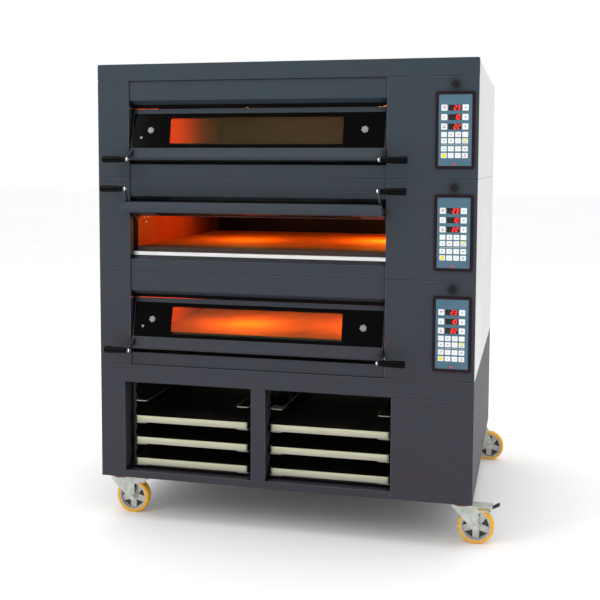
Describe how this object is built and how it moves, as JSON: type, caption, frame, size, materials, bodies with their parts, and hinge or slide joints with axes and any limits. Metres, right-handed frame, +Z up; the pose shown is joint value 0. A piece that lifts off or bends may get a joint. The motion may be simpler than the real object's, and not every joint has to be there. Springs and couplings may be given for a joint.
{
  "type": "deck oven",
  "caption": "Electric pizza oven with stacked baking decks under a low hood, drop-in doors with side grips, keypad controls, and a rolling stand with tray racks.",
  "frame": {"origin": "on the floor, under the centre of the whole outline with the brake pedal, the open door's grips and the rear spigots", "axes": "+Z up, -Y out of the front, +X to the right seen from the front"},
  "size_m": [1.44, 1.3327, 1.66],
  "materials": {
    "front_paint": "semi-gloss slate grey powder coat",
    "side_sheet": "pale satin stainless sheet",
    "tube_steel": "dark grey paint",
    "bright_steel": "bright stainless sheet",
    "chamber_steel": "heat-tinted aluminised steel",
    "stone": "matt refractory slab",
    "wool": "mineral wool",
    "element": "dark oxidised tube",
    "lamp": "clear dome",
    "door_black": "gloss black enamel",
    "door_glass": "tinted heat-reflecting glass",
    "grip": "gloss black phenolic",
    "keypad_face": "satin steel-blue membrane",
    "keypad_bezel": "dark maroon-black frame",
    "knob": "gloss black",
    "housing": "grey zinc-plated box",
    "tray": "pressed aluminium with a warm cast",
    "wire": "bright wire",
    "fork": "grey-green zinc passivate",
    "ring": "red seal",
    "hub": "cast aluminium",
    "tread": "amber polyurethane",
    "pedal": "black coated steel",
    "gland": "black nylon"
  },
  "bodies": {
    "root": {"cable_glands": "gland", "casing_screws": "bright_steel", "caster_plates": "fork", "caster_seal_rings": "ring", "chamber_insulation": "wool", "chamber_liners": "chamber_steel", "control_panels": "front_paint", "control_units": "housing", "deck_front_frames": "front_paint", "deck_shells": "side_sheet", "exhaust_ducts": "bright_steel", "hearth_stones": "stone", "heating_elements": "element", "hood_cover": "side_sheet", "hood_fascia": "front_paint", "keypad_bezels": "keypad_bezel", "keypad_faces": "keypad_face", "mouth_frames": "bright_steel", "oven_lamps": "lamp", "rack_ledges": "wire", "rack_uprights": "bright_steel", "rear_panels": "side_sheet", "stand_frame": "tube_steel", "stand_front_panels": "front_paint", "stand_panels": "front_paint"},
    "bottom_damper": {"bottom_damper_knob": "knob"},
    "bottom_door": {"bottom_door_frame": "front_paint", "bottom_door_glass": "door_glass", "bottom_door_grips": "grip", "bottom_door_panel": "door_black"},
    "front_left_swivel": {"caster_front_left_fork": "fork"},
    "front_left_wheel": {"caster_front_left_hub": "hub", "caster_front_left_tread": "tread"},
    "front_right_swivel": {"caster_front_right_fork": "fork"},
    "front_right_wheel": {"caster_front_right_hub": "hub", "caster_front_right_tread": "tread"},
    "front_right_brake": {"caster_front_right_pedal": "pedal"},
    "rear_left_swivel": {"caster_rear_left_fork": "fork"},
    "rear_left_wheel": {"caster_rear_left_hub": "hub", "caster_rear_left_tread": "tread"},
    "rear_right_swivel": {"caster_rear_right_fork": "fork"},
    "rear_right_wheel": {"caster_rear_right_hub": "hub", "caster_rear_right_tread": "tread"},
    "middle_damper": {"middle_damper_knob": "knob"},
    "middle_door": {"middle_door_frame": "front_paint", "middle_door_glass": "door_glass", "middle_door_grips": "grip", "middle_door_panel": "door_black"},
    "top_damper": {"top_damper_knob": "knob"},
    "top_door": {"top_door_frame": "front_paint", "top_door_glass": "door_glass", "top_door_grips": "grip", "top_door_panel": "door_black"},
    "tray_left_1": {"tray_left_1": "tray"},
    "tray_left_2": {"tray_left_2": "tray"},
    "tray_left_3": {"tray_left_3": "tray"},
    "tray_right_1": {"tray_right_1": "tray"},
    "tray_right_2": {"tray_right_2": "tray"},
    "tray_right_3": {"tray_right_3": "tray"}
  },
  "joints": [
    {"name": "bottom_door_hinge", "type": "hinge", "parent": "root", "child": "bottom_door", "pos_m": [-0.138, -0.5165, 0.772], "axis": [-1, 0, 0], "range_deg": [0, 86]},
    {"name": "bottom_damper_slide", "type": "slide", "parent": "root", "child": "bottom_damper", "axis": [0, -1, 0], "range_m": [0, 0.06]},
    {"name": "middle_door_hinge", "type": "hinge", "parent": "root", "child": "middle_door", "pos_m": [-0.138, -0.5165, 1.112], "axis": [-1, 0, 0], "range_deg": [-86, 0]},
    {"name": "middle_damper_slide", "type": "slide", "parent": "root", "child": "middle_damper", "axis": [0, -1, 0], "range_m": [0, 0.06]},
    {"name": "top_door_hinge", "type": "hinge", "parent": "root", "child": "top_door", "pos_m": [-0.138, -0.5165, 1.452], "axis": [-1, 0, 0], "range_deg": [0, 86]},
    {"name": "top_damper_slide", "type": "slide", "parent": "root", "child": "top_damper", "axis": [0, -1, 0], "range_m": [0, 0.06]},
    {"name": "tray_left_1_slide", "type": "slide", "parent": "root", "child": "tray_left_1", "axis": [0, -1, 0], "range_m": [0, 0.45]},
    {"name": "tray_left_2_slide", "type": "slide", "parent": "root", "child": "tray_left_2", "axis": [0, -1, 0], "range_m": [0, 0.45]},
    {"name": "tray_left_3_slide", "type": "slide", "parent": "root", "child": "tray_left_3", "axis": [0, -1, 0], "range_m": [0, 0.45]},
    {"name": "tray_right_1_slide", "type": "slide", "parent": "root", "child": "tray_right_1", "axis": [0, -1, 0], "range_m": [0, 0.45]},
    {"name": "tray_right_2_slide", "type": "slide", "parent": "root", "child": "tray_right_2", "axis": [0, -1, 0], "range_m": [0, 0.45]},
    {"name": "tray_right_3_slide", "type": "slide", "parent": "root", "child": "tray_right_3", "axis": [0, -1, 0], "range_m": [0, 0.45]},
    {"name": "front_left_swivel_turn", "type": "hinge", "parent": "root", "child": "front_left_swivel", "pos_m": [-0.681, -0.4815, 0.14], "axis": [0, 0, 1], "continuous": true},
    {"name": "front_left_wheel_turn", "type": "hinge", "parent": "front_left_swivel", "child": "front_left_wheel", "pos_m": [-0.633, -0.4815, 0.0625], "axis": [0, 1, 0], "continuous": true},
    {"name": "front_right_swivel_turn", "type": "hinge", "parent": "root", "child": "front_right_swivel", "pos_m": [0.591, -0.4815, 0.14], "axis": [0, 0, 1], "continuous": true},
    {"name": "front_right_wheel_turn", "type": "hinge", "parent": "front_right_swivel", "child": "front_right_wheel", "pos_m": [0.639, -0.4815, 0.0625], "axis": [0, 1, 0], "continuous": true},
    {"name": "rear_left_swivel_turn", "type": "hinge", "parent": "root", "child": "rear_left_swivel", "pos_m": [-0.681, 0.5145, 0.14], "axis": [0, 0, 1], "continuous": true},
    {"name": "rear_left_wheel_turn", "type": "hinge", "parent": "rear_left_swivel", "child": "rear_left_wheel", "pos_m": [-0.633, 0.5145, 0.0625], "axis": [0, 1, 0], "continuous": true},
    {"name": "rear_right_swivel_turn", "type": "hinge", "parent": "root", "child": "rear_right_swivel", "pos_m": [0.591, 0.5145, 0.14], "axis": [0, 0, 1], "continuous": true},
    {"name": "rear_right_wheel_turn", "type": "hinge", "parent": "rear_right_swivel", "child": "rear_right_wheel", "pos_m": [0.639, 0.5145, 0.0625], "axis": [0, 1, 0], "continuous": true},
    {"name": "front_right_brake_press", "type": "hinge", "parent": "front_right_swivel", "child": "front_right_brake", "pos_m": [0.686, -0.4815, 0.1235], "axis": [0, 1, 0], "range_deg": [0, 18]}
  ]
}
